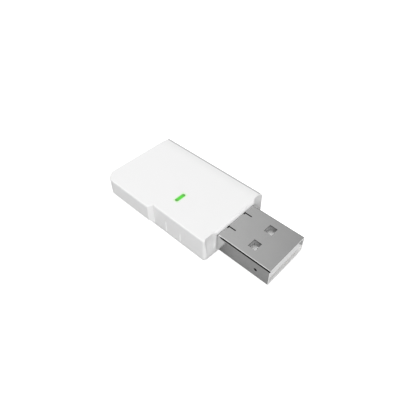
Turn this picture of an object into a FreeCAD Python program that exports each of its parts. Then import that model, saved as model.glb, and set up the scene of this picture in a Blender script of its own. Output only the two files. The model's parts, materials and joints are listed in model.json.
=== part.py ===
import FreeCAD, Part
import Sketcher
import math
import os
import re

# The object is a small radio gateway in the form of a stick with a type A plug.
# Origin: centre of the housing's flat underside. +X points to the plug's tip, +Z is up,
# -Y is the long side that carries the grip. All sizes are in millimetres.

SIZES = [
    # Housing
    ("housing_length", 31.0, "housing along X"),
    ("housing_width", 19.4, "housing along Y, without the grip"),
    ("housing_height", 6.6, "housing along Z"),
    ("wall_thick", 1.1, "side walls of the upper cover"),
    ("floor_thick", 0.8, "plate of the lower cover"),
    ("seam_gap", 0.1, "open line between the two covers"),
    ("front_bow", 0.15, "how far the front face falls back from its middle to the sides"),
    ("front_corner", 0.7, "upright corners beside the plug"),
    ("back_corner", 0.5, "upright back corner on the plain side"),
    ("hidden_corner", 1.65, "upright back corner below the grip"),
    ("front_round", 0.6, "top edge at the front"),
    ("near_round", 0.3, "top edge on the grip side"),
    ("far_round", 0.5, "top edge on the plain side"),
    ("back_round", 0.3, "top edge at the back and around the grip"),
    ("under_round", 0.6, "bottom edge of the lower cover"),
    ("far_slope_width", 3.2, "width of the arched strip on the plain side"),
    ("far_slope_drop", 0.4, "fall of that strip at the edge"),
    ("facet_inset", 0.2, "slanted facets of the front face inside the long sides"),
    ("facet_gap", 0.2, "facets beside the plug's shell"),
    ("facet_depth", 0.65, "how far the facets fall back at the roof"),
    ("facet_corner", 0.9, "rounding of the facets' upright ends"),
    # Grip
    ("grip_length", 15.0, "grip along X from the back face"),
    ("grip_proud", 1.25, "how far the grip stands out of the wall"),
    ("grip_base", 2.4, "height of the grip's lower edge"),
    ("grip_ramp", 0.5, "run of the grip's slanted front end"),
    ("grip_corner", 2.9, "upright back corner of the grip"),
    ("groove_pitch", 4.38, "spacing of the upright grooves from the grip's end"),
    ("groove_width", 0.35, "groove on the wall"),
    ("groove_depth", 0.15, "groove into the wall"),
    ("groove_first_top", 4.1, "top end of the groove next to the grip"),
    ("groove_fall", 0.5, "how much lower the next groove ends"),
    # Indicator window
    ("slot_back", 12.8, "slot centre behind the front face"),
    ("slot_side", 4.0, "slot centre from the middle towards the grip side"),
    ("slot_length", 2.8, "slot along Y"),
    ("slot_width", 0.9, "slot along X"),
    ("slot_corner", 0.4, "rounding of the slot's ends"),
    ("guide_play", 0.05, "light guide inside the slot"),
    ("guide_recess", 0.05, "light guide below the roof's surface"),
    ("guide_flange", 0.6, "flange beyond the slot"),
    ("guide_flange_thick", 0.4, "flange thickness"),
    ("guide_above_lamp", 0.2, "air between lamp and light guide"),
    # Plug
    ("plug_width", 12.0, "metal shell along Y"),
    ("plug_height", 4.5, "metal shell along Z"),
    ("plug_sheet", 0.3, "metal sheet"),
    ("plug_corner", 0.45, "outer bend of the shell"),
    ("plug_exposed", 13.3, "shell in front of the housing"),
    ("plug_buried", 5.0, "shell inside the housing"),
    ("plug_axis", 3.5, "height of the plug's middle"),
    ("plug_play", 0.05, "shell inside the housing's opening"),
    ("window_from_tip", 5.2, "front edge of the windows behind the tip"),
    ("window_length", 1.9, "windows along X"),
    ("window_width", 2.2, "windows along Y"),
    ("window_side", 2.65, "window centres from the middle"),
    ("slit_width", 0.22, "cuts of the holding tabs"),
    ("slit_length", 1.85, "long cut of a holding tab"),
    ("slit_foot", 0.65, "short cut of a holding tab"),
    ("slit_start", 0.05, "cuts start this far from the housing"),
    ("fold_start", 0.7, "fold line starts this far from the housing"),
    ("fold_side", 5.8, "fold line from the middle"),
    ("fold_width", 0.26, "fold line across"),
    ("fold_depth", 0.25, "fold line below the shell's top"),
    ("dimple_from_root", 10.1, "pressed dimple in front of the housing"),
    ("dimple_ball", 0.5, "radius of the dimple's ball"),
    ("dimple_depth", 0.2, "depth of the dimple"),
    ("leg_reach", 2.7, "soldering leg's arm behind the shell"),
    ("leg_width", 1.2, "soldering leg along X"),
    ("leg_rise", 1.1, "top of the leg's arm above the plug's middle"),
    ("leg_through", 0.7, "leg end below the board"),
    ("arm_gap", 0.1, "arm above the board"),
    # Insulator and contacts
    ("insulator_play", 0.05, "insulator inside the shell"),
    ("insulator_recess", 0.05, "insulator behind the mouth"),
    ("tongue_offset", 0.1, "tongue's underside below the plug's middle"),
    ("tongue_corner", 1.2, "long upper edges of the tongue"),
    ("mouth_depth", 9.3, "free space in the plug from the tip"),
    ("pocket_depth", 1.3, "hollow below a window"),
    ("contact_width", 1.0, "contact along Y"),
    ("contact_thick", 0.25, "contact along Z"),
    ("contact_proud", 0.05, "contact below the tongue"),
    ("contact_play", 0.03, "contact inside its groove"),
    ("outer_contact_side", 3.5, "power and ground contacts from the middle"),
    ("inner_contact_side", 1.0, "data contacts from the middle"),
    ("outer_contact_from_tip", 1.4, "front end of the power and ground contacts"),
    ("inner_contact_from_tip", 2.4, "front end of the data contacts"),
    ("tail_length", 1.9, "contact behind the shell"),
    # Circuit board
    ("board_thick", 0.8, "main board"),
    ("board_back_gap", 0.3, "board end to the back wall"),
    ("board_front_gap", 0.2, "board end to the plug's shell"),
    ("board_side_gap", 0.2, "board edge to the hooks"),
    ("board_corner", 0.6, "board corners"),
    ("leg_play", 0.1, "board slot around a leg"),
    # Fixing inside
    ("post_radius", 1.0, "posts that hold the board"),
    ("post_side_inset", 1.2, "post centres inside the board's long edges"),
    ("post_back_inset", 1.7, "back post centres inside the board's end"),
    ("post_front_inset", 5.4, "front post centres behind the board's front end"),
    ("pin_radius", 0.5, "locating pins"),
    ("pin_play", 0.05, "board hole around a pin"),
    ("pin_above_board", 0.5, "pin end above the board"),
    ("pin_bore_play", 0.15, "bore of the upper post around a pin"),
    ("hook_inset", 5.9, "hook centres inside the end walls"),
    ("hook_length", 3.0, "hook along X"),
    ("hook_thick", 0.8, "hook along Y"),
    ("hook_gap", 0.1, "hook to the inner wall"),
    ("hook_top", 4.5, "top of the hook"),
    ("nib_proud", 0.3, "nib out of the hook"),
    ("nib_low", 3.6, "underside of the nib"),
    ("nib_flat", 0.35, "upright face of the nib"),
    ("catch_gap", 0.1, "free space around a nib"),
    ("rib_thick", 0.8, "ribs inside"),
    ("rib_half", 4.5, "half length of the ribs"),
    ("rib_first_inset", 4.2, "first rib below the plug behind the front face"),
    ("rib_second_inset", 2.2, "second rib below the plug behind the front face"),
    ("stop_gap", 0.1, "stop rib behind the shell"),
    ("stop_above_middle", 1.0, "underside of the stop rib above the plug's middle"),
    ("cheek_gap", 0.1, "cheeks beside the shell"),
    ("cheek_height", 3.6, "top of the cheeks"),
    # Radio module
    ("module_back_gap", 0.3, "module end to the board's back end"),
    ("module_length", 11.0, "module board along X"),
    ("module_side_gap", 0.4, "module edge to the posts"),
    ("module_thick", 0.6, "module board"),
    ("shield_length", 7.2, "metal can along X"),
    ("shield_side_gap", 0.6, "can inside the module's long edges"),
    ("shield_height", 1.4, "metal can"),
    ("shield_sheet", 0.2, "sheet of the can"),
    ("shield_corner", 0.5, "corners of the can"),
    ("shield_front_gap", 0.5, "can to the module's front end"),
    ("trace_width", 0.45, "antenna line"),
    ("trace_thick", 0.08, "antenna copper"),
    ("trace_pitch", 0.8, "spacing of the antenna's runs"),
    ("trace_side_gap", 1.0, "antenna inside the module's long edges"),
    ("joint_pitch", 1.27, "spacing of the module's joints"),
    ("joint_width", 0.6, "joint along X"),
    ("joint_foot", 0.5, "joint on the board"),
    ("joint_rise", 0.45, "joint up the module's edge"),
    # Small parts
    ("lamp_width", 1.25, "lamp along X"),
    ("lamp_length", 2.0, "lamp along Y"),
    ("lamp_height", 0.7, "lamp above the board"),
    ("lead_width", 0.4, "leads of the small chips"),
    ("lead_thick", 0.15, "lead thickness"),
    ("lead_reach", 0.5, "leads beyond the chip's body"),
    ("lead_pitch", 0.95, "spacing of the leads"),
    ("body_lift", 0.1, "chip body above the board"),
    ("cap_share", 0.25, "share of a two-ended part's metal end"),
    ("cap_proud", 0.03, "metal end beyond the body"),
    ("bevel", 0.1, "bevel on top of the chips"),
]

DERIVED = [
    ("front_face", "housing_length / 2"),
    ("side_face", "housing_width / 2"),
    ("inner_x", "housing_length / 2 - wall_thick"),
    ("inner_y", "housing_width / 2 - wall_thick"),
    ("cover_rim", "floor_thick + seam_gap"),
    ("far_slope_radius", "(far_slope_width ^ 2 + far_slope_drop ^ 2) / (2 * far_slope_drop)"),
    ("bow_radius", "(side_face ^ 2 + front_bow ^ 2) / (2 * front_bow)"),
    ("bow_centre", "front_face - bow_radius"),
    ("corner_x", "bow_centre + sqrt((bow_radius - front_corner) ^ 2 - (side_face - front_corner) ^ 2)"),
    ("bow_share", "bow_radius / (bow_radius - front_corner)"),
    ("bow_end_x", "bow_centre + (corner_x - bow_centre) * bow_share"),
    ("bow_end_y", "(side_face - front_corner) * bow_share"),
    ("facet_slope", "facet_depth / (housing_height - cover_rim)"),
    ("grip_end", "grip_length - housing_length / 2"),
    ("grip_face", "side_face + grip_proud"),
    ("plug_side", "plug_width / 2"),
    ("plug_top", "plug_axis + plug_height / 2"),
    ("plug_bottom", "plug_axis - plug_height / 2"),
    ("plug_back", "front_face - plug_buried"),
    ("plug_tip", "front_face + plug_exposed"),
    ("window_front", "plug_tip - window_from_tip"),
    ("window_back", "window_front - window_length"),
    ("slit_back", "front_face + slit_start"),
    ("roof_under", "plug_top + plug_play"),
    ("opening_half", "plug_side + plug_play"),
    ("insulator_half", "plug_side - plug_sheet - insulator_play"),
    ("insulator_top", "plug_top - plug_sheet - insulator_play"),
    ("insulator_low", "plug_bottom + plug_sheet + insulator_play"),
    ("insulator_corner", "plug_corner - plug_sheet + insulator_play"),
    ("insulator_back", "plug_back + insulator_play"),
    ("tongue_low", "plug_axis - tongue_offset"),
    ("board_top", "tongue_low - contact_proud"),
    ("board_low", "board_top - board_thick"),
    ("board_back", "board_back_gap - inner_x"),
    ("board_front", "plug_back - board_front_gap"),
    ("contact_top", "board_top + contact_thick"),
    ("leg_back", "plug_back - leg_reach"),
    ("leg_low", "board_low - leg_through"),
    ("hook_outer", "inner_y - hook_gap"),
    ("hook_place", "inner_x - hook_inset"),
    ("board_half", "hook_outer - hook_thick - board_side_gap"),
    ("post_side", "board_half - post_side_inset"),
    ("post_back", "board_back + post_back_inset"),
    ("post_front", "board_front - post_front_inset"),
    ("rib_first", "front_face - rib_first_inset"),
    ("rib_second", "front_face - rib_second_inset"),
    ("stop_low", "plug_axis + stop_above_middle"),
    ("slot_x", "front_face - slot_back"),
    ("lamp_top", "board_top + lamp_height"),
    ("module_back", "board_back + module_back_gap"),
    ("module_front", "module_back + module_length"),
    ("module_half", "post_side - post_radius - module_side_gap"),
    ("module_top", "board_top + module_thick"),
    ("shield_front", "module_front - shield_front_gap"),
    ("shield_back", "shield_front - shield_length"),
    ("shield_half", "module_half - shield_side_gap"),
    ("shield_top", "module_top + shield_height"),
    ("trace_half", "module_half - trace_side_gap"),
]

# Two-ended parts: centre x, centre y, size along X, size along Y, height, what it stands on
TWO_ENDED = {
    "resettable_fuse": [("plug_back - 3.6", -3.4, 1.6, 3.2, 0.7, "board_top")],
    "ferrite_bead": [("slot_x + 2.0", -1.8, 1.6, 0.8, 0.8, "board_top")],
    "input_capacitors": [("plug_back - 3.6", 3.7, 1.25, 2.0, 1.1, "board_top"),
                         ("slot_x - 1.1", 3.3, 1.25, 2.0, 1.1, "board_top")],
    "series_resistors": [("slot_x - 0.8", -1.6, 0.8, 1.6, 0.45, "board_top"),
                         ("slot_x + 1.2", -0.7, 1.0, 0.5, 0.35, "board_top"),
                         ("slot_x + 1.2", 0.3, 1.0, 0.5, 0.35, "board_top")],
    "decoupling_capacitors": [(f"shield_back + {step}", "1.0 - shield_half", 1.0, 0.5, 0.5, "module_top")
                              for step in (1.2, 2.6, 4.0, 5.4)],
    "antenna_matching_parts": [("shield_back + 0.6", f"{step} - shield_half", 0.6, 0.3, 0.3, "module_top")
                               for step in (2.1, 2.9, 3.7)],
}

# Chips with leads on two sides: centre x, centre y, body along X, body along Y, height,
# places of the leads at -X, places of the leads at +X
LEADED = {
    "voltage_regulator": ("slot_x + 1.2", 2.6, 1.6, 2.9, 1.05, (-1, 0, 1), (-1, 1)),
    "surge_protector": ("plug_back - 4.1", 0.0, 1.6, 2.9, 1.05, (-1, 0, 1), (-1, 0, 1)),
}

# Flat chips below the metal can: centre x, centre y, size along X, size along Y, height
FLAT_CHIPS = {
    "radio_chip": ("shield_back + 3.3", 0.4, 4.4, 4.4, 0.8),
    "clock_crystal": ("shield_front - 0.9", 1.9, 1.0, 2.0, 0.55),
    "flash_memory": ("shield_front - 0.9", -0.6, 1.0, 2.0, 0.5),
}

AXES = {
    "XY": ("z", FreeCAD.Vector(0, 0, 1), FreeCAD.Rotation()),
    "XZ": ("y", FreeCAD.Vector(0, 1, 0), FreeCAD.Rotation(FreeCAD.Vector(1, 0, 0), 90)),
    "YZ": ("x", FreeCAD.Vector(1, 0, 0), FreeCAD.Rotation(FreeCAD.Vector(1, 1, 1), 120)),
}
# How far a cutting body runs beyond the surface that it cuts
OVER = 0.5
# Heights closer than this count as equal
TINY = 0.001
GROOVES = 2
TRACE_RUNS = 4
JOINTS_PER_EDGE = 6

doc = FreeCAD.newDocument("gateway")
sheet = doc.addObject("Spreadsheet::Sheet", "sizes")
ALIASES = {row[0] for row in SIZES + DERIVED}


def fill_sheet():
    """Writes the driving sizes as numbers and the derived ones as formulas."""
    for row, (alias, number, note) in enumerate(SIZES, start=1):
        sheet.set(f"A{row}", note)
        sheet.set(f"B{row}", str(number))
        sheet.setAlias(f"B{row}", alias)
    for row, (alias, text) in enumerate(DERIVED, start=len(SIZES) + 1):
        sheet.set(f"B{row}", "=" + text)
        sheet.setAlias(f"B{row}", alias)
    doc.recompute()


def formula(text):
    """The expression with every alias pointing at the sheet."""
    return re.sub(r"[a-z_]+", lambda word: "sizes." + word[0] if word[0] in ALIASES else word[0], str(text))


def value(text):
    """The present number of an expression."""
    return float(sheet.evalExpression(formula(text)))


def bind(item, prop, text):
    item.setExpression(prop, formula(text))


def box(name, x, y, z):
    """A block between the (low, high) pairs x, y and z."""
    item = doc.addObject("Part::Box", name)
    for side, place, (low, high) in zip(("Length", "Width", "Height"), "xyz", (x, y, z)):
        bind(item, side, f"({high}) - ({low})")
        bind(item, "Placement.Base." + place, low)
    return item


def around(middle, size):
    """The (low, high) pair of a span centred on middle."""
    return f"({middle}) - ({size}) / 2", f"({middle}) + ({size}) / 2"


def post(name, x, y, low, high, radius):
    """An upright round post."""
    item = doc.addObject("Part::Cylinder", name)
    bind(item, "Radius", radius)
    bind(item, "Height", f"({high}) - ({low})")
    for place, text in zip("xyz", (x, y, low)):
        bind(item, "Placement.Base." + place, text)
    return item


def arc_between(start, end, radius):
    """Counter-clockwise arc from start to end."""
    chord = end - start
    height = math.sqrt(max(radius ** 2 - (chord.Length / 2) ** 2, 0))
    left = FreeCAD.Vector(-chord.y, chord.x, 0).normalize()
    centre = (start + end) / 2 + left * height
    begin = math.atan2(start.y - centre.y, start.x - centre.x)
    stop = math.atan2(end.y - centre.y, end.x - centre.x)
    return Part.ArcOfCircle(Part.Circle(centre, FreeCAD.Vector(0, 0, 1), radius), begin, stop)


def outline(name, plane, points, arcs, low):
    """A closed sketch through the points; arcs gives the radius of the piece that starts at a point."""
    place, _, turn = AXES[plane]
    sketch = doc.addObject("Sketcher::SketchObject", name)
    sketch.Placement = FreeCAD.Placement(FreeCAD.Vector(), turn)
    bind(sketch, "Placement.Base." + place, low)
    spots = [FreeCAD.Vector(value(x), value(y), 0) for x, y in points]
    for index, start in enumerate(spots):
        end = spots[(index + 1) % len(spots)]
        if index in arcs:
            sketch.addGeometry(arc_between(start, end, value(arcs[index])), False)
        else:
            sketch.addGeometry(Part.LineSegment(start, end), False)
    for index, texts in enumerate(points):
        sketch.addConstraint(Sketcher.Constraint("Coincident", index, 2, (index + 1) % len(points), 1))
        for kind, text in zip(("DistanceX", "DistanceY"), texts):
            number = sketch.addConstraint(Sketcher.Constraint(kind, -1, 1, index, 1, value(text)))
            sketch.renameConstraint(number, f"{kind}_{index}")
            bind(sketch, f"Constraints.{kind}_{index}", text)
    for index, text in arcs.items():
        number = sketch.addConstraint(Sketcher.Constraint("Radius", index, value(text)))
        sketch.renameConstraint(number, f"Radius_{index}")
        bind(sketch, f"Constraints.Radius_{index}", text)
    return sketch


def prism(name, plane, points, low, high, arcs=None):
    """A solid from low to high across the plane."""
    item = doc.addObject("Part::Extrusion", name)
    item.Base = outline(name + "_outline", plane, points, arcs or {}, low)
    item.DirMode = "Custom"
    item.Dir = AXES[plane][1]
    item.Solid = True
    bind(item, "LengthFwd", f"({high}) - ({low})")
    return item


def rounded(name, plane, first, second, radii, low, high):
    """A prism over a rectangle; radii run counter-clockwise from the low corner, None stays sharp."""
    left, right = first
    bottom, top = second
    corners = [
        (left, bottom, "0", "{0}", "{0}", "0"),
        (right, bottom, "-{0}", "0", "0", "{0}"),
        (right, top, "0", "-{0}", "-{0}", "0"),
        (left, top, "{0}", "0", "0", "-{0}"),
    ]
    points = []
    arcs = {}
    for (x, y, *shift), radius in zip(corners, radii):
        if radius is None:
            points.append((x, y))
            continue
        arcs[len(points)] = radius
        first_x, first_y, last_x, last_y = [text.format(f"({radius})") for text in shift]
        points.append((f"({x}) + {first_x}", f"({y}) + {first_y}"))
        points.append((f"({x}) + {last_x}", f"({y}) + {last_y}"))
    return prism(name, plane, points, low, high, arcs)


def fuse(name, parts):
    item = doc.addObject("Part::MultiFuse", name)
    item.Shapes = parts
    item.Refine = True
    return item


def cut(name, base, tools):
    item = doc.addObject("Part::Cut", name)
    item.Base = base
    item.Tool = tools[0] if len(tools) == 1 else fuse(name + "_tools", tools)
    return item


def common(name, first, second):
    item = doc.addObject("Part::Common", name)
    item.Base = first
    item.Tool = second
    return item


def group(name, parts):
    """Separate small solids of one kind."""
    item = doc.addObject("Part::Compound", name)
    item.Links = parts
    return item


def edge_finish(kind, name, base, size_of):
    """Rounds or bevels the edges for which size_of gives a start and an end size."""
    doc.recompute()
    item = doc.addObject(kind, name)
    item.Base = base
    chosen = [(number, size_of(edge)) for number, edge in enumerate(base.Shape.Edges, start=1)]
    item.Edges = [(number, *sizes) for number, sizes in chosen if sizes]
    return item


def level_edges(height, size):
    """Picks the edges that lie at one height."""
    z = value(height)
    amount = value(size)

    def size_of(edge):
        bounds = edge.BoundBox
        return (amount, amount) if abs(bounds.ZMin - z) < TINY and abs(bounds.ZMax - z) < TINY else None
    return size_of


def cover_plan(name, low, high):
    """A prism over the covers' outline, which has a slightly bowed front."""
    points = [
        ("-front_face", "hidden_corner - side_face"),
        ("hidden_corner - front_face", "-side_face"),
        ("corner_x", "-side_face"),
        ("bow_end_x", "-bow_end_y"),
        ("bow_end_x", "bow_end_y"),
        ("corner_x", "side_face"),
        ("back_corner - front_face", "side_face"),
        ("-front_face", "side_face - back_corner"),
    ]
    arcs = {0: "hidden_corner", 2: "front_corner", 3: "bow_radius", 4: "front_corner", 6: "back_corner"}
    return prism(name, "XY", points, low, high, arcs)


def cover_block():
    """The upper cover's outer form without the grip."""
    section = prism("cover_section", "YZ", [
        ("-side_face", "cover_rim"),
        ("side_face", "cover_rim"),
        ("side_face", "housing_height - far_slope_drop"),
        ("side_face - far_slope_width", "housing_height"),
        ("-side_face", "housing_height"),
    ], "-front_face", "front_face", {2: "far_slope_radius"})
    block = common("cover_block", section, cover_plan("cover_plan", "cover_rim", "housing_height"))
    return edge_finish("Part::Fillet", "cover_rounded", block, cover_round)


def cover_round(edge):
    """The rounding at both ends of a top edge; the line where the arched strip begins stays as it is."""
    if edge.BoundBox.ZMin < value("housing_height - far_slope_drop") - TINY:
        return None
    ends = [edge.valueAt(at) for at in (edge.FirstParameter, edge.LastParameter)]
    side, front = value("side_face"), value("front_face")
    if abs(ends[0].x - ends[1].x) > front and abs(ends[0].y) < side - TINY:
        return None
    sizes = []
    for point in ends:
        if abs(point.y) > side - TINY:
            sizes.append(value("far_round" if point.y > 0 else "near_round"))
        else:
            sizes.append(value("front_round" if point.x > 0 else "back_round"))
    return tuple(sizes)


def grip():
    """The raised strip along the back half of the -Y side, flush with the roof, with a slanted front end."""
    block = prism("grip_block", "XY", [
        ("-front_face", "grip_corner - grip_face"),
        ("grip_corner - front_face", "-grip_face"),
        ("grip_end", "-grip_face"),
        ("grip_end + grip_ramp", "-side_face"),
        ("grip_end + grip_ramp", "0"),
        ("-front_face", "0"),
    ], "cover_rim", "housing_height", {0: "grip_corner"})
    under = prism("grip_underside", "YZ", [
        ("-side_face", "cover_rim"),
        ("-grip_face", "grip_base"),
        (f"-grip_face - {OVER}", "grip_base"),
        (f"-grip_face - {OVER}", f"cover_rim - {OVER}"),
        ("-side_face", f"cover_rim - {OVER}"),
    ], f"-front_face - {OVER}", f"grip_end + grip_ramp + {OVER}")
    rounded_block = edge_finish("Part::Fillet", "grip_rounded", block, grip_edges)
    return cut("grip", rounded_block, [under])


def grip_edges(edge):
    """The grip's top edges except the one inside the cover."""
    amount = value("back_round")
    bounds = edge.BoundBox
    inside = bounds.YMin > -TINY
    return None if inside or bounds.ZMin < value("housing_height") - TINY else (amount, amount)


def front_facets():
    """Facets in the front face beside the plug, which lean back towards the roof and end rounded."""
    tools = []
    inner = "plug_side + facet_gap"
    outer = "side_face - facet_inset"
    for name, across in (("near", (f"-({outer})", f"-({inner})")), ("far", (inner, outer))):
        along = ("front_face", f"front_face + 2 * facet_depth + {OVER}")
        corners = ["facet_corner", None, None, "facet_corner"]
        tool = rounded(f"front_facet_{name}", "XY", along, across, corners, "cover_rim", "housing_height")
        bind(tool, "Dir.x", "-facet_slope")
        bind(tool, "LengthFwd", f"(housing_height + {OVER} - cover_rim) * sqrt(1 + facet_slope ^ 2)")
        tools.append(tool)
    return tools


def wall_grooves():
    """Two upright V grooves in the -Y wall in front of the grip."""
    tools = []
    for step in range(1, GROOVES + 1):
        x = f"grip_end + {step} * groove_pitch"
        left, right = around(x, "groove_width")
        tools.append(prism(f"wall_groove_{step}", "XY", [
            (left, f"-side_face - {OVER}"),
            (right, f"-side_face - {OVER}"),
            (right, "-side_face"),
            (x, "groove_depth - side_face"),
            (left, "-side_face"),
        ], f"cover_rim - {OVER}", f"groove_first_top - {step - 1} * groove_fall"))
    return tools


def hook_catches():
    """Recesses of the inner walls that take the nibs of the hooks."""
    tools = []
    for x in (-1, 1):
        for side in (-1, 1):
            name = f"catch_{'back' if x < 0 else 'front'}_{'near' if side < 0 else 'far'}"
            edge = [f"{side} * (inner_y - {OVER})", f"{side} * (hook_outer + nib_proud + catch_gap)"]
            low, high = edge if side > 0 else edge[::-1]
            tools.append(box(name, around(f"{x} * hook_place", "hook_length + 2 * catch_gap"), (low, high),
                             ("nib_low - catch_gap", "hook_top + catch_gap")))
    return tools


def post_places():
    """Post name, x, y and whether the post carries a locating pin."""
    return [
        ("back_near", "post_back", "-post_side", True),
        ("back_far", "post_back", "post_side", False),
        ("front_near", "post_front", "-post_side", False),
        ("front_far", "post_front", "post_side", True),
    ]


def upper_cover():
    """Roof, walls and grip in one moulding, with posts that press on the board."""
    outer = fuse("cover_outer", [cover_rounded, side_grip])
    hollows = [
        box("cover_hollow", ("-inner_x", "inner_x"), ("-inner_y", "inner_y"),
            (f"cover_rim - {OVER}", "roof_under")),
        box("plug_opening", (f"inner_x - {OVER}", f"front_face + {OVER}"), ("-opening_half", "opening_half"),
            (f"cover_rim - {OVER}", "roof_under")),
        rounded("lamp_slot", "XY", around("slot_x", "slot_width"), around("-slot_side", "slot_length"),
                ["slot_corner"] * 4, f"roof_under - {OVER}", f"housing_height + {OVER}"),
    ]
    walls = cut("cover_walls", outer, hollows + front_facets() + wall_grooves() + hook_catches())
    posts = [post(f"upper_post_{name}", x, y, "board_top", f"roof_under + {OVER}", "post_radius")
             for name, x, y, _ in post_places()]
    stop = box("stop_rib", ("plug_back - stop_gap - rib_thick", "plug_back - stop_gap"),
               ("-rib_half", "rib_half"), ("stop_low", f"roof_under + {OVER}"))
    solid = fuse("cover_with_posts", [walls, stop] + posts)
    bore_top = "board_top + pin_above_board + pin_bore_play"
    bores = [post(f"pin_bore_{name}", x, y, f"board_top - {OVER}", bore_top, "pin_radius + pin_bore_play")
             for name, x, y, pinned in post_places() if pinned]
    return cut("upper_cover", solid, bores)


def hook(name, x, side):
    """A snap hook on the lower cover with its nib pointing outwards."""
    inner = "hook_outer - hook_thick"
    tip = "hook_outer + nib_proud"
    points = [(inner, "floor_thick / 2"), ("hook_outer", "floor_thick / 2"),
              ("hook_outer", "nib_low"), (tip, "nib_low"), (tip, "nib_low + nib_flat"),
              ("hook_outer", "hook_top"), (inner, "hook_top")]
    low, high = around(f"{x} * hook_place", "hook_length")
    return prism(name, "YZ", [(f"{side} * ({y})", z) for y, z in points], low, high)


def lower_cover():
    """Shallow plate with the posts, hooks and ribs that carry the board and the plug."""
    plate = cover_plan("plate", "0", "floor_thick")
    parts = [edge_finish("Part::Fillet", "plate_rounded", plate, level_edges("0", "under_round"))]
    inside = "floor_thick / 2"
    below_plug = (inside, "plug_bottom - plug_play")
    parts.append(box("plug_sill", ("inner_x", "front_face - front_bow"), ("-plug_side", "plug_side"),
                     below_plug))
    for name, x in (("first", "rib_first"), ("second", "rib_second")):
        parts.append(box(f"cradle_{name}", (x, f"{x} + rib_thick"), ("-rib_half", "rib_half"), below_plug))
    for name, side in (("near", -1), ("far", 1)):
        edge = ["plug_side + cheek_gap", "plug_side + cheek_gap + rib_thick"]
        low, high = [f"{side} * ({text})" for text in (edge if side > 0 else edge[::-1])]
        parts.append(box(f"cheek_{name}", ("rib_first", "rib_second + rib_thick"), (low, high),
                         (inside, "cheek_height")))
        for place, x in (("back", -1), ("front", 1)):
            parts.append(hook(f"hook_{place}_{name}", x, side))
    for name, x, y, pinned in post_places():
        parts.append(post(f"lower_post_{name}", x, y, inside, "board_low", "post_radius"))
        if pinned:
            parts.append(post(f"pin_{name}", x, y, inside, "board_top + pin_above_board", "pin_radius"))
    return fuse("lower_cover", parts)


def light_guide():
    """Clear rod from the lamp to the roof with a flange below the roof."""
    stem = rounded("guide_stem", "XY", around("slot_x", "slot_width - 2 * guide_play"),
                   around("-slot_side", "slot_length - 2 * guide_play"), ["slot_corner - guide_play"] * 4,
                   "lamp_top + guide_above_lamp", "housing_height - guide_recess")
    flange = box("guide_flange_plate", around("slot_x", "slot_width + 2 * guide_flange"),
                 around("-slot_side", "slot_length + 2 * guide_flange"),
                 ("roof_under - guide_flange_thick", "roof_under"))
    return fuse("light_guide", [stem, flange])


def leg_outline():
    """Side view of a soldering leg with its arm, as points in X and Z."""
    arm_low = "board_top + arm_gap"
    arm_top = "plug_axis + leg_rise"
    return [(f"plug_back + {OVER}", arm_low), (f"plug_back + {OVER}", arm_top), ("leg_back", arm_top),
            ("leg_back", "leg_low"), ("leg_back + leg_width", "leg_low"), ("leg_back + leg_width", arm_low)]


def plug_shell():
    """Folded sheet box with windows, holding tabs, a fold line, dimples and soldering legs."""
    outer = rounded("shell_outer", "YZ", ("-plug_side", "plug_side"), ("plug_bottom", "plug_top"),
                    ["plug_corner"] * 4, "plug_back", "plug_tip")
    inner = rounded("shell_inner", "YZ", ("plug_sheet - plug_side", "plug_side - plug_sheet"),
                    ("plug_bottom + plug_sheet", "plug_top - plug_sheet"), ["plug_corner - plug_sheet"] * 4,
                    f"plug_back - {OVER}", f"plug_tip + {OVER}")
    tube = cut("shell_tube", outer, [inner])
    legs = []
    for name, side in (("near", -1), ("far", 1)):
        low = "-plug_side" if side < 0 else "plug_side - plug_sheet"
        legs.append(prism(f"leg_{name}", "XZ", leg_outline(), low, f"{low} + plug_sheet"))
    tools = [box("fold_line", ("front_face + fold_start", f"plug_tip + {OVER}"),
                 around("-fold_side", "fold_width"), ("plug_top - fold_depth", f"plug_top + {OVER}"))]
    for name, side in (("near", -1), ("far", 1)):
        tools.append(box(f"windows_{name}", ("window_back", "window_front"),
                         around(f"{side} * window_side", "window_width"),
                         (f"plug_bottom - {OVER}", f"plug_top + {OVER}")))
        line = f"{side} * window_side + slit_foot / 2"
        above = (f"plug_top - plug_sheet - {TINY}", f"plug_top + {OVER}")
        tools.append(box(f"tab_slit_{name}", ("slit_back", "slit_back + slit_length"),
                         (f"{line} - slit_width", line), above))
        tools.append(box(f"tab_foot_{name}", ("slit_back", "slit_back + slit_width"),
                         (f"{line} - slit_foot", line), above))
        ball = doc.addObject("Part::Sphere", f"dimple_{name}")
        bind(ball, "Radius", "dimple_ball")
        bind(ball, "Placement.Base.x", "front_face + dimple_from_root")
        bind(ball, "Placement.Base.y", f"{side} * (plug_side + dimple_ball - dimple_depth)")
        bind(ball, "Placement.Base.z", "plug_axis")
        tools.append(ball)
    return cut("plug_shell", fuse("shell_with_legs", [tube] + legs), tools)


def contacts():
    """Contact nodes: name, side from the middle, front end behind the tip."""
    return [
        ("power_contact", "-outer_contact_side", "outer_contact_from_tip"),
        ("data_minus_contact", "-inner_contact_side", "inner_contact_from_tip"),
        ("data_plus_contact", "inner_contact_side", "inner_contact_from_tip"),
        ("ground_contact", "outer_contact_side", "outer_contact_from_tip"),
    ]


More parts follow.
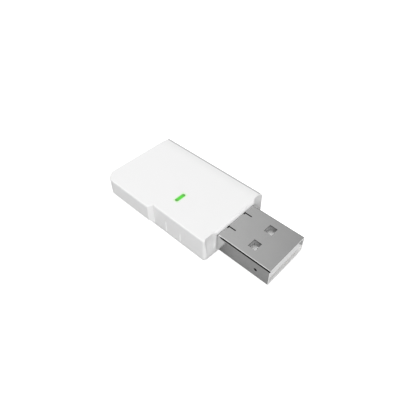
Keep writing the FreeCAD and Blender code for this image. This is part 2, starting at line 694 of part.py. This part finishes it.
def plug_insulator():
    """Moulded tongue in the upper half of the plug and the block behind it."""
    front = "plug_tip - insulator_recess"
    width = ("-insulator_half", "insulator_half")
    tongue = rounded("tongue", "YZ", width, ("tongue_low", "insulator_top"),
                     [None, None, "tongue_corner", "tongue_corner"], "insulator_back", front)
    block = rounded("rear_block", "YZ", width, ("insulator_low", "insulator_top"), ["insulator_corner"] * 4,
                    "insulator_back", "plug_tip - mouth_depth")
    tools = []
    for name, y, behind in contacts():
        span = (f"insulator_back - {OVER}", f"plug_tip - {behind} + contact_play")
        tools.append(box(f"{name}_groove", span, around(y, "contact_width + 2 * contact_play"),
                         ("board_top", "contact_top")))
    for name, side in (("near", -1), ("far", 1)):
        tools.append(box(f"pocket_{name}", ("window_back", "window_front"),
                         around(f"{side} * window_side", "window_width"),
                         ("insulator_top - pocket_depth", f"insulator_top + {OVER}")))
    return cut("plug_insulator", fuse("insulator_solid", [tongue, block]), tools)


def contact_strips():
    """Four flat strips that end as tails on the board."""
    for name, y, behind in contacts():
        box(name, ("plug_back - tail_length", f"plug_tip - {behind}"), around(y, "contact_width"),
            ("board_top", "contact_top"))


def circuit_board():
    """Main board with the holes for pins and legs."""
    blank = rounded("board_blank", "XY", ("board_back", "board_front"), ("-board_half", "board_half"),
                    ["board_corner"] * 4, "board_low", "board_top")
    through = (f"board_low - {OVER}", f"board_top + {OVER}")
    tools = [post(f"board_hole_{name}", x, y, *through, "pin_radius + pin_play")
             for name, x, y, pinned in post_places() if pinned]
    for name, side in (("near", -1), ("far", 1)):
        middle = f"{side} * (plug_side - plug_sheet / 2)"
        tools.append(box(f"leg_hole_{name}", ("leg_back - leg_play", "leg_back + leg_width + leg_play"),
                         around(middle, "plug_sheet + 2 * leg_play"), through))
    return cut("circuit_board", blank, tools)


def radio_module():
    """Module board, metal can, antenna line and the solder joints along the edges."""
    box("radio_module_board", ("module_back", "module_front"), ("-module_half", "module_half"),
        ("board_top", "module_top"))
    outer = rounded("can_outer", "XY", ("shield_back", "shield_front"), ("-shield_half", "shield_half"),
                    ["shield_corner"] * 4, "module_top", "shield_top")
    inner = rounded("can_inner", "XY", ("shield_back + shield_sheet", "shield_front - shield_sheet"),
                    ("shield_sheet - shield_half", "shield_half - shield_sheet"),
                    ["shield_corner - shield_sheet"] * 4, f"module_top - {OVER}", "shield_top - shield_sheet")
    cut("radio_shield", outer, [inner])
    runs = []
    height = ("module_top", "module_top + trace_thick")
    for step in range(TRACE_RUNS):
        x = f"module_back + trace_width + {step} * trace_pitch"
        runs.append(box(f"trace_run_{step}", around(x, "trace_width"), ("-trace_half", "trace_half"), height))
        if step + 1 < TRACE_RUNS:
            end = "trace_half" if step % 2 == 0 else "trace_width - trace_half"
            span = (x, f"{x} + trace_pitch")
            runs.append(box(f"trace_turn_{step}", span, (f"{end} - trace_width", end), height))
    fuse("antenna_trace", runs)
    joints = []
    for side in (-1, 1):
        for step in range(JOINTS_PER_EDGE):
            x = f"module_front - joint_pitch * ({step} + 1)"
            edge = f"{side} * module_half"
            low, high = around(x, "joint_width")
            joints.append(prism(f"joint_{'near' if side < 0 else 'far'}_{step}", "YZ", [
                (edge, "board_top"), (f"{side} * (module_half + joint_foot)", "board_top"),
                (edge, "board_top + joint_rise")], low, high))
    group("module_solder_joints", joints)


def plug_solder_joints():
    """Joints of the four tails on the board and of the two legs below it."""
    joints = []
    for name, y, _ in contacts():
        end = "plug_back - tail_length"
        pad = box(f"{name}_solder", (f"{end} - joint_foot", f"{end} + joint_width"),
                  around(y, "contact_width + joint_foot"), ("board_top", "board_top + lead_thick"))
        tail = box(f"{name}_tail", (end, "plug_back"), around(y, "contact_width"),
                   (f"board_top - {OVER}", f"board_top + {OVER}"))
        joints.append(cut(f"{name}_joint", pad, [tail]))
    for name, side in (("near", -1), ("far", 1)):
        middle = f"{side} * (plug_side - plug_sheet / 2)"
        cone = doc.addObject("Part::Cone", f"leg_solder_{name}")
        bind(cone, "Radius1", "leg_width / 2 + joint_foot / 4")
        bind(cone, "Radius2", "leg_width / 2 + joint_foot / 2")
        bind(cone, "Height", "leg_through - leg_play")
        bind(cone, "Placement.Base.x", "leg_back + leg_width / 2")
        bind(cone, "Placement.Base.y", middle)
        bind(cone, "Placement.Base.z", "leg_low + leg_play")
        hole = box(f"leg_solder_hole_{name}", ("leg_back", "leg_back + leg_width"),
                   around(middle, "plug_sheet"), (f"leg_low - {OVER}", f"board_low + {OVER}"))
        joints.append(cut(f"leg_joint_{name}", cone, [hole]))
    group("plug_solder_joints", joints)


def two_ended(name, x, y, length, width, height, base):
    """A block with slightly larger metal ends on its long axis."""
    body = box(name + "_body", around(x, length), around(y, width), (base, f"{base} + {height} - cap_proud"))
    ends = []
    for side in (-1, 1):
        label = f"{name}_end_{'low' if side < 0 else 'high'}"
        level = (base, f"{base} + {height}")
        if length >= width:
            span = around(f"{x} + {side} * {length} * (1 - cap_share) / 2", f"{length} * cap_share")
            ends.append(box(label, span, around(y, f"{width} + 2 * cap_proud"), level))
        else:
            span = around(f"{y} + {side} * {width} * (1 - cap_share) / 2", f"{width} * cap_share")
            ends.append(box(label, around(x, f"{length} + 2 * cap_proud"), span, level))
    return fuse(name, [body] + ends)


def bevelled(name, base, height):
    return edge_finish("Part::Chamfer", name, base, level_edges(height, "bevel"))


def leaded(name, x, y, length, width, height, low_leads, high_leads):
    """A small moulded chip with flat leads on both long sides."""
    top = f"board_top + {height}"
    block = box(name + "_block", around(x, length), around(y, width), ("board_top + body_lift", top))
    parts = [bevelled(name + "_body", block, top)]
    for side, leads in ((-1, low_leads), (1, high_leads)):
        for number, shift in enumerate(leads):
            edge = f"{x} + {side} * ({length} / 2 + lead_reach / 2 - lead_thick)"
            spot = around(f"{y} + {shift} * lead_pitch", "lead_width")
            parts.append(box(f"{name}_lead_{'low' if side < 0 else 'high'}_{number}",
                             around(edge, "lead_reach + 2 * lead_thick"), spot,
                             ("board_top", "board_top + body_lift + lead_thick")))
    return fuse(name, parts)


def small_parts():
    """Everything soldered on the two boards."""
    lamp = box("lamp_block", around("slot_x", "lamp_width"), around("-slot_side", "lamp_length"),
               ("board_top", "lamp_top"))
    bevelled("indicator_led", lamp, "lamp_top")
    for name, places in TWO_ENDED.items():
        if len(places) == 1:
            two_ended(name, *places[0])
            continue
        group(name, [two_ended(f"{name}_{number}", *place) for number, place in enumerate(places, start=1)])
    for name, sizes in LEADED.items():
        leaded(name, *sizes)
    for name, (x, y, length, width, height) in FLAT_CHIPS.items():
        top = f"module_top + {height}"
        block = box(name + "_block", around(x, length), around(y, width), ("module_top", top))
        bevelled(name, block, top)


NODES = ["upper_cover", "lower_cover", "light_guide", "circuit_board", "plug_shell", "plug_insulator",
         "power_contact", "data_minus_contact", "data_plus_contact", "ground_contact", "indicator_led",
         "radio_module_board", "radio_shield", "antenna_trace", "module_solder_joints", "plug_solder_joints",
         *TWO_ENDED, *LEADED, *FLAT_CHIPS]


def check_and_write():
    """Stops on a broken object, then writes one file for each node."""
    doc.recompute()
    for item in doc.Objects:
        if "Invalid" in item.State or "Error" in item.State:
            raise RuntimeError(f"{item.Name}: {item.State}")
    os.makedirs("parts", exist_ok=True)
    for name in NODES:
        shape = doc.getObject(name).Shape
        if shape.isNull() or not shape.isValid():
            raise RuntimeError(f"{name} has no valid shape")
        shape.exportStep(f"parts/{name}.step")


fill_sheet()
cover_rounded = cover_block()
side_grip = grip()
upper_cover()
lower_cover()
light_guide()
plug_shell()
plug_insulator()
contact_strips()
circuit_board()
radio_module()
plug_solder_joints()
small_parts()
check_and_write()
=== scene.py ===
import json
import math

import bpy
from mathutils import Matrix, Vector


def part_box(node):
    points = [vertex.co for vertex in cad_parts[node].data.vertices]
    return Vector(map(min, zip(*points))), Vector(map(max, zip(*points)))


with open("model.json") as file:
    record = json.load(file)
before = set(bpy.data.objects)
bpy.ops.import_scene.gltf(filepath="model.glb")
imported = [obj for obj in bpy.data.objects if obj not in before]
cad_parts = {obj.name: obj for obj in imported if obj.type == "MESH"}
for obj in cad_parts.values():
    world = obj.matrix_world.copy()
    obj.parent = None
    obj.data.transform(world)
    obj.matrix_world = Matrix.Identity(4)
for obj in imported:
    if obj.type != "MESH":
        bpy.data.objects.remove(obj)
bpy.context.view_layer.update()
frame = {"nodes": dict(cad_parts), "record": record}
MM = 0.001

# The photograph's view: the side it looks from and its height in degrees, its place, its lens in pixels
CAMERA_AZIMUTH = 42.88
CAMERA_ELEVATION = 46.08
CAMERA_ROLL = 0.09
CAMERA_ASIDE = 6.076 * MM
CAMERA_BELOW = -4.134 * MM
CAMERA_DISTANCE = 85.75 * MM
NEAREST_SEEN = 1 * MM
FURTHEST_SEEN = 10
LENS = 396.64
PHOTO_WIDTH = 415
SENSOR = 36
HOUSING_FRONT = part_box("upper_cover")[1].x
PLUG_MIDDLE = (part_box("plug_shell")[0].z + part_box("plug_shell")[1].z) / 2


def towards(azimuth, elevation):
    """The direction of the given view side and height in degrees. Side 0 is -Y and side 90 is +X."""
    azimuth = math.radians(azimuth)
    elevation = math.radians(elevation)
    return Vector((math.sin(azimuth) * math.cos(elevation), -math.cos(azimuth) * math.cos(elevation),
                   math.sin(elevation)))


def add_camera():
    """Puts the camera where the photograph was taken from, measured from the plug's root."""
    azimuth = math.radians(CAMERA_AZIMUTH)
    back = towards(CAMERA_AZIMUTH, CAMERA_ELEVATION)
    level = Vector((math.cos(azimuth), math.sin(azimuth), 0))
    right = Matrix.Rotation(math.radians(CAMERA_ROLL), 3, back) @ level
    up = back.cross(right)
    root = Vector((HOUSING_FRONT, 0, PLUG_MIDDLE))
    place = root - CAMERA_ASIDE * right - CAMERA_BELOW * up + CAMERA_DISTANCE * back
    data = bpy.data.cameras.new("camera")
    data.sensor_width = SENSOR
    data.lens = SENSOR * LENS / PHOTO_WIDTH
    data.clip_start = NEAREST_SEEN
    data.clip_end = FURTHEST_SEEN
    camera = bpy.data.objects.new("camera", data)
    camera.matrix_world = Matrix.Translation(place) @ Matrix((right, up, back)).transposed().to_4x4()
    bpy.context.scene.collection.objects.link(camera)
    bpy.context.scene.camera = camera


def grey(tone):
    """A plain grey."""
    return tone, tone, tone


class Nodes:
    """A tree of nodes, added one call at a time."""

    def __init__(self, tree):
        self.tree = tree

    def add(self, kind, inputs=None, **settings):
        """Adds a node with its settings, and links or sets its inputs."""
        node = self.tree.nodes.new(kind)
        for key, setting in settings.items():
            setattr(node, key, setting)
        for key, entry in (inputs or {}).items():
            self.put(node.inputs[key], entry)
        return node

    def put(self, socket, entry):
        """Links a socket to an output, or sets its value."""
        if isinstance(entry, bpy.types.NodeSocket):
            self.tree.links.new(entry, socket)
        else:
            socket.default_value = entry

    def between(self, amount, low, high, start=0.0, end=1.0):
        """Turns start to end into low to high, and keeps to those beyond."""
        inputs = {"Value": amount, "From Min": start, "From Max": end, "To Min": low, "To Max": high}
        return self.add("ShaderNodeMapRange", inputs).outputs["Result"]

    def reckon(self, operation, first, second=0.0, third=0.0):
        """The result of an operation on up to three numbers."""
        return self.add("ShaderNodeMath", {0: first, 1: second, 2: third}, operation=operation).outputs[0]


class Surface(Nodes):
    """A material whose nodes work with places on the object."""

    def __init__(self, name):
        self.material = bpy.data.materials.new(name)
        self.material.use_nodes = True
        super().__init__(self.material.node_tree)
        self.shader = self.tree.nodes["Principled BSDF"]
        self.place = self.add("ShaderNodeTexCoord").outputs["Object"]
        self.axes = self.add("ShaderNodeSeparateXYZ", {"Vector": self.place}).outputs

    def set(self, **entries):
        """Links or sets inputs of the surface itself."""
        for key, entry in entries.items():
            self.put(self.shader.inputs[key.replace("_", " ")], entry)

    def noise(self, size, detail=2.0, place=None):
        """Noise with features of the given size in metres."""
        inputs = {"Vector": place or self.place, "Scale": 1 / size, "Detail": detail}
        return self.add("ShaderNodeTexNoise", inputs).outputs["Fac"]

    def block(self, low, high, soft=0.02):
        """1 inside a block given by its corners in millimetres, 0 outside. None leaves a side open."""
        inside = None
        for axis, bottom, top in zip(self.axes, low, high):
            if bottom is None:
                continue
            away = self.reckon("ABSOLUTE", self.reckon("SUBTRACT", axis, (bottom + top) / 2 * MM))
            reach = (top - bottom) / 2
            within = self.between(away, 1.0, 0.0, (reach - soft) * MM, (reach + soft) * MM)
            inside = within if inside is None else self.reckon("MULTIPLY", inside, within)
        return inside

    def blocks(self, corners, soft=0.02):
        """1 inside any of the blocks, 0 outside."""
        total = None
        for low, high in corners:
            one = self.block(low, high, soft)
            total = one if total is None else self.reckon("MAXIMUM", total, one)
        return total

    def along(self, axis, start, end):
        """0 to 1 from start to end along an axis, in millimetres."""
        return self.between(self.axes[axis], 0.0, 1.0, start * MM, end * MM)

    def mix(self, amount, first, second):
        """Blends two colours."""
        node = self.add("ShaderNodeMix", data_type="RGBA")
        self.put(node.inputs["Factor"], amount)
        self.put(node.inputs[6], (*first, 1) if isinstance(first, tuple) else first)
        self.put(node.inputs[7], (*second, 1) if isinstance(second, tuple) else second)
        return node.outputs[2]

    def bump(self, height, depth):
        """A bump of the given depth in metres."""
        node = self.add("ShaderNodeBump", {"Height": height, "Distance": depth})
        self.put(self.shader.inputs["Normal"], node.outputs["Normal"])


# Places on the covers in millimetres, with their tones: painted shade along the plain side's top edge,
# painted highlights in the grooves in the other side's wall, painted shade on the leaning facets beside the
# plug and at one facet's inner end
FAR_EDGE_SHADE = ((-15.4, 9.0, 6.02), (15.5, 10.1, 6.6))
FAR_EDGE_SHADE_SOFT = 0.08
FAR_EDGE_SHADE_TONE = 0.45
GROOVE_HALF = 0.2
GROOVE_HIGHLIGHTS = [(((x - GROOVE_HALF, -9.685, 0.9), (x + GROOVE_HALF, -9.4, 4.2)), tone)
           for x, tone in ((3.88, 0.92), (8.26, 0.87))]
FACETS = [((14.6, -9.5, 0.9), (15.56, -6.1, 6.5)), ((14.6, 6.1, 0.9), (15.56, 9.5, 6.5))]
FACETS_SOFT = 0.05
FACETS_DARKEN = (4.0, 5.9)
FACET_END = ((14.6, -7.15, 0.9), (15.56, -6.1, 6.5))
FACET_END_SOFT = 0.15
FACET_END_DARKENS = (3.4, 4.8)
FACET_SHADE_TONE = 0.70

# A painted glow of the indicator lamp's green light on the cover around the slot, in millimetres: the slot
# inside its guide's box, the glow's reach beyond the slot and its heights
SLOT_INSET = 0.5
GLOW_REACH = 0.15
GLOW_HEIGHTS = (6.4, 7.0)
GLOW_TINT = (0.62, 0.83, 0.54)
GLOW_LIGHT = (0.2, 1, 0.15, 1)
GLOW_STRENGTH = 0.07


def cover_plastic():
    """White satin plastic with a very fine grain, painted shade along the far edge and on the facets, painted
    highlights in the grooves and a painted green glow around the slot.
    """
    surface = Surface("cover_plastic")
    colour = surface.mix(surface.noise(6 * MM), grey(0.81), grey(0.825))
    # Painted shade along the far top edge
    colour = surface.mix(surface.block(*FAR_EDGE_SHADE, FAR_EDGE_SHADE_SOFT), colour, grey(FAR_EDGE_SHADE_TONE))
    # Painted highlights in the grooves of the wall
    for groove_highlight, tone in GROOVE_HIGHLIGHTS:
        colour = surface.mix(surface.block(*groove_highlight), colour, grey(tone))
    # Painted shade on the facets' upper part and on the rounding at one facet's inner end
    facet_shade = surface.reckon("MULTIPLY", surface.blocks(FACETS, FACETS_SOFT),
                            surface.along("Z", *FACETS_DARKEN))
    end = surface.reckon("MULTIPLY", surface.block(*FACET_END, FACET_END_SOFT),
                         surface.along("Z", *FACET_END_DARKENS))
    colour = surface.mix(surface.reckon("MAXIMUM", facet_shade, end), colour, grey(FACET_SHADE_TONE))
    low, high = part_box("light_guide")
    low, high = low / MM, high / MM
    beyond = SLOT_INSET - GLOW_REACH
    bottom, top = GLOW_HEIGHTS
    # The slot's mask carries the painted glow: its green tint in the colour and its light in the emission
    slot = surface.block((low.x + beyond, low.y + beyond, bottom),
                         (high.x - beyond, high.y - beyond, top), GLOW_REACH)
    colour = surface.mix(slot, colour, GLOW_TINT)
    surface.set(Base_Color=colour, Roughness=surface.between(surface.noise(1.5 * MM), 0.3, 0.36),
                Specular_IOR_Level=0.4, Emission_Color=GLOW_LIGHT,
                Emission_Strength=surface.between(slot, 0.0, GLOW_STRENGTH))
    surface.bump(surface.noise(0.09 * MM, 3), 0.0008 * MM)
    return surface.material


# Places on the plug in millimetres, with painted shade and light: the fold line in painted shade with a
# painted highlight on its edge, the tabs' cuts and the dimples in painted shade, the windows' cut faces in
# painted shade, and the inside of the sheet and its cut end painted pale with a faint glow
CUTS_LOW = 5.38
CUTS_HIGH = 5.735
RIM_HIGH = 5.8
FOLD_EDGE_LOW = 5.61
FOLD_LINE = [((16.2, -5.94, 5.4), (28.9, -5.66, FOLD_EDGE_LOW))]
FOLD_HIGHLIGHT = [((16.2, -5.72, FOLD_EDGE_LOW), (28.78, -5.64, CUTS_HIGH))]
TAB_CUTS = [
    ((15.5, -2.58, CUTS_LOW), (17.43, -2.29, RIM_HIGH)),
    ((15.5, 2.72, CUTS_LOW), (17.43, 3.01, RIM_HIGH)),
    ((15.5, -3.0, CUTS_LOW), (15.8, -2.29, RIM_HIGH)),
    ((15.5, 2.3, CUTS_LOW), (15.8, 3.01, RIM_HIGH)),
]
DIMPLES = [((25.1, -5.95, 3.0), (26.1, 5.95, 4.0))]
WINDOW_MIDDLES = (-2.65, 2.65)
WINDOW_FACES = [((21.6, middle - 1.15, 5.42), (23.7, middle + 1.15, CUTS_HIGH))
                for middle in WINDOW_MIDDLES]
SHEET_INSIDE = [((14.0, -5.72, 1.53), (28.9, 5.72, 5.47))]
SHEET_END = [((28.79, None, None), (28.9, None, None))]
# Near black for painted shade in the cuts, the fold line and the dimples
SHADE_BLACK = grey(0.004)


def plug_steel():
    """Plated sheet with faint drawing lines, painted shade in its cuts, fold line and dimples, a painted
    highlight on the fold line's edge, and a pale matt tone with a painted glow inside and on its cut end.
    """
    surface = Surface("plug_steel")
    stretched = surface.add("ShaderNodeMapping", {"Vector": surface.place, "Scale": (1, 14, 14)})
    lines = surface.noise(2 * MM, 3, stretched.outputs["Vector"])
    # Painted shade: near black in the fold line, the tabs' cuts and the dimples
    dark = surface.blocks(FOLD_LINE + TAB_CUTS + DIMPLES)
    # Painted shade on the windows' cut faces
    shade = surface.blocks(WINDOW_FACES)
    # Painted light: pale and matt with a faint glow inside the sheet and on its cut end, a painted highlight
    # on the fold line's edge
    painted_light = surface.blocks(SHEET_INSIDE + SHEET_END + FOLD_HIGHLIGHT)
    dull = surface.reckon("MAXIMUM", surface.reckon("MAXIMUM", dark, shade), painted_light)
    colour = surface.mix(surface.noise(3 * MM), grey(0.69), (0.74, 0.74, 0.735))
    colour = surface.mix(painted_light, colour, grey(0.90))
    colour = surface.mix(shade, colour, grey(0.13))
    colour = surface.mix(dark, colour, SHADE_BLACK)
    rough = surface.reckon("MAXIMUM", surface.between(lines, 0.12, 0.2), surface.between(dull, 0.0, 0.6))
    surface.set(Base_Color=colour, Roughness=rough,
                Metallic=surface.between(surface.reckon("MAXIMUM", shade, painted_light), 1.0, 0.0),
                Emission_Color=(1, 1, 1, 1), Emission_Strength=surface.between(painted_light, 0.0, 0.07))
    surface.bump(lines, 0.002 * MM)
    return surface.material


# Places on the insulator in millimetres: the pockets below the windows, whose walls carry painted shade that
# grows darker along X and lighter with depth, and its front with painted shade at the upper far corner, which
# begins along a slanted direction
POCKETS = [((21.5, middle - 1.3, 4.15), (23.8, middle + 1.3, 5.5)) for middle in WINDOW_MIDDLES]
POCKETS_DARKEN = (21.7, 23.4)
POCKETS_DEEPEN = (5.4, 4.2)
INSULATOR_FRONT = ((28.6, None, None), (28.9, None, None))
CORNER_ACROSS = 0.768
CORNER_UP = 0.641
CORNER_BEGINS = (6.3, 6.5)


def white_insulator():
    """White moulding with painted shade on its top below the tabs' cuts, on the walls of its pockets and at
    its front's upper far corner.
    """
    surface = Surface("insulator_plastic")
    colour = surface.mix(surface.noise(1 * MM, 4), grey(0.80), grey(0.84))
    # Painted shade on the pockets' walls, darker along X and lighter with depth
    forward = surface.along("X", *POCKETS_DARKEN)
    upper = surface.mix(forward, grey(0.50), grey(0.17))
    lower = surface.mix(forward, grey(0.78), grey(0.27))
    pocket_shade = surface.mix(surface.along("Z", *POCKETS_DEEPEN), upper, lower)
    colour = surface.mix(surface.blocks(POCKETS), colour, pocket_shade)
    # Painted shade at the front's upper far corner
    slanted = surface.reckon("ADD", surface.reckon("MULTIPLY", surface.axes["Y"], CORNER_ACROSS),
                             surface.reckon("MULTIPLY", surface.axes["Z"], CORNER_UP))
    start, end = CORNER_BEGINS
    corner_shade = surface.reckon("MULTIPLY", surface.between(slanted, 0.0, 1.0, start * MM, end * MM),
                            surface.block(*INSULATOR_FRONT))
    colour = surface.mix(corner_shade, colour, grey(0.33))
    # Painted shade on the top below the tabs' cuts
    colour = surface.mix(surface.blocks(TAB_CUTS), colour, SHADE_BLACK)
    surface.set(Base_Color=colour, Roughness=surface.between(surface.noise(0.5 * MM), 0.35, 0.45))
    return surface.material


# How far from the lit slot's middle it begins to darken and is darkest, in millimetres
GUIDE_DARKENS = (0.7, 1.45)


def lit_guide():
    """Green light guide, bright in its middle and darker at its ends."""
    surface = Surface("indicator_light")
    low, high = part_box("light_guide")
    away = surface.reckon("ABSOLUTE", surface.reckon("SUBTRACT", surface.axes["Y"], (low.y + high.y) / 2))
    start, full = GUIDE_DARKENS
    end = surface.between(away, 0.0, 1.0, start * MM, full * MM)
    colour = surface.mix(end, (0.07, 0.48, 0.035), (0.12, 0.19, 0.08))
    surface.set(Base_Color=colour, Roughness=0.3, Emission_Color=colour,
                Emission_Strength=surface.between(end, 0.35, 0.05))
    return surface.material


def moulded(name, dark, light, rough, grain=0.4):
    """Plain moulded or printed surface with slight changes in tone."""
    surface = Surface(name)
    surface.set(Base_Color=surface.mix(surface.noise(grain * MM, 4), dark, light),
                Roughness=surface.between(surface.noise(grain * MM / 2), rough, rough + 0.1))
    return surface.material


def plated(name, dark, light, rough):
    """Metal with slight changes in tone."""
    surface = Surface(name)
    surface.set(Base_Color=surface.mix(surface.noise(0.8 * MM, 3), dark, light),
                Roughness=surface.between(surface.noise(0.3 * MM), rough, rough + 0.12), Metallic=1.0)
    return surface.material


# The materials with marks of their own, then the plain ones: darkest and lightest tone, roughness, grain
MARKED = {
    "cover_plastic": cover_plastic,
    "plug_steel": plug_steel,
    "indicator_light": lit_guide,
    "insulator_plastic": white_insulator,
}
MOULDED = {
    "board_laminate": ((0.02, 0.13, 0.05), (0.03, 0.17, 0.07), 0.35, 1.0),
    "lamp_plastic": ((0.70, 0.75, 0.66), (0.80, 0.85, 0.76), 0.2),
    "chip_plastic": ((0.015, 0.015, 0.016), (0.03, 0.03, 0.032), 0.45),
    "capacitor_ceramic": ((0.34, 0.22, 0.13), (0.42, 0.29, 0.18), 0.4),
    "fuse_body": ((0.02, 0.12, 0.04), (0.03, 0.16, 0.05), 0.4),
}
PLATED = {
    "contact_metal": ((0.80, 0.56, 0.22), (0.86, 0.64, 0.30), 0.22),
    "shield_metal": ((0.62, 0.62, 0.61), (0.70, 0.70, 0.69), 0.28),
    "solder": ((0.66, 0.66, 0.67), (0.76, 0.76, 0.77), 0.25),
}


def dress_nodes():
    """Gives every node of the model its slot's material."""
    made = {slot: make() for slot, make in MARKED.items()}
    made.update({slot: moulded(slot, *look) for slot, look in MOULDED.items()})
    made.update({slot: plated(slot, *look) for slot, look in PLATED.items()})
    for part in frame["record"]["subparts"]:
        node = frame["nodes"][part["node"]]
        node.data.materials.clear()
        node.data.materials.append(made[part["material_slot"]])


# The floor's tones, which are what it gives back to the object, what gloss sees of it and what it adds for
# the camera, and its size and depth
FLOOR_TONE = 0.52
FLOOR_TONE_IN_GLOSS = 0.33
FLOOR_GLOW = 0.88
FLOOR_HALF = 0.6
FLOOR_DROP = 0.02 * MM


def floor_material():
    """Pale ground that is white to the camera, so that hardly any shadow shows on it."""
    surface = Surface("floor_white")
    path = surface.add("ShaderNodeLightPath").outputs
    tone = surface.between(path["Is Glossy Ray"], FLOOR_TONE, FLOOR_TONE_IN_GLOSS)
    surface.set(Base_Color=tone, Roughness=0.9, Specular_IOR_Level=0.0, Emission_Color=(1, 1, 1, 1),
                Emission_Strength=surface.between(path["Is Camera Ray"], 0, FLOOR_GLOW))
    return surface.material


def add_floor():
    """A large level ground at the height of the underside."""
    mesh = bpy.data.meshes.new("floor")
    corners = [(side * FLOOR_HALF, end * FLOOR_HALF, 0)
               for side, end in ((-1, -1), (1, -1), (1, 1), (-1, 1))]
    mesh.from_pydata(corners, [], [(0, 1, 2, 3)])
    mesh.materials.append(floor_material())
    floor = bpy.data.objects.new("floor", mesh)
    floor.location.z = -FLOOR_DROP
    bpy.context.scene.collection.objects.link(floor)


# The lamps: azimuth, elevation, distance and side in metres, power in watts
LAMPS = {
    "lamp_beside_camera": (61, 14, 0.5, 0.26, 1.03),
    "lamp_above": (-90, 76, 0.5, 0.4, 1.52),
}


def add_lamps():
    """Soft square lamps that look at the object, and that gloss doesn't mirror."""
    for name, (azimuth, elevation, distance, size, power) in LAMPS.items():
        data = bpy.data.lights.new(name, "AREA")
        data.size = size
        data.energy = power
        lamp = bpy.data.objects.new(name, data)
        side = towards(azimuth, elevation)
        lamp.location = side * distance
        lamp.rotation_euler = side.to_track_quat("Z", "Y").to_euler()
        lamp.visible_glossy = False
        bpy.context.scene.collection.objects.link(lamp)


# Plain surroundings for pale surfaces, brighter on the side of the grip, and the grey room that metal
# mirrors, with soft panels: azimuth, elevation, cosine where it starts, cosine where it is full, strength
WORLD_LEVEL = 0.51
WORLD_TILT = 0.25
BRIGHTER_SIDE = (30, 5)
ROOM_TONE = 0.36
PANELS = [
    (-100, 45, 0.73, 1.0, 0.42),
    (-80, 69, 0.93, 0.98, 0.9),
]


def add_world():
    """White surroundings for the camera, plain ones for pale surfaces and a grey room for gloss."""
    world = bpy.data.worlds.new("surroundings")
    bpy.context.scene.world = world
    world.use_nodes = True
    nodes = Nodes(world.node_tree)
    place = nodes.add("ShaderNodeTexCoord").outputs["Generated"]
    path = nodes.add("ShaderNodeLightPath").outputs

    def facing(azimuth, elevation):
        """1 towards the given side and height, 0 square to it."""
        inputs = {0: place, 1: towards(azimuth, elevation)}
        return nodes.add("ShaderNodeVectorMath", inputs, operation="DOT_PRODUCT").outputs["Value"]

    room = ROOM_TONE
    for azimuth, elevation, start, full, strength in PANELS:
        panel = nodes.between(facing(azimuth, elevation), 0.0, strength, start, full)
        room = nodes.reckon("ADD", panel, room)
    plain = nodes.reckon("MULTIPLY_ADD", facing(*BRIGHTER_SIDE), WORLD_TILT, WORLD_LEVEL)
    lit = nodes.between(path["Is Glossy Ray"], plain, room)
    background = nodes.tree.nodes["Background"]
    nodes.put(background.inputs["Strength"], nodes.between(path["Is Camera Ray"], lit, 1.0))
    nodes.put(background.inputs["Color"], (1, 1, 1, 1))


bpy.context.scene.view_settings.view_transform = "Standard"
add_camera()
add_floor()
add_world()
add_lamps()
dress_nodes()
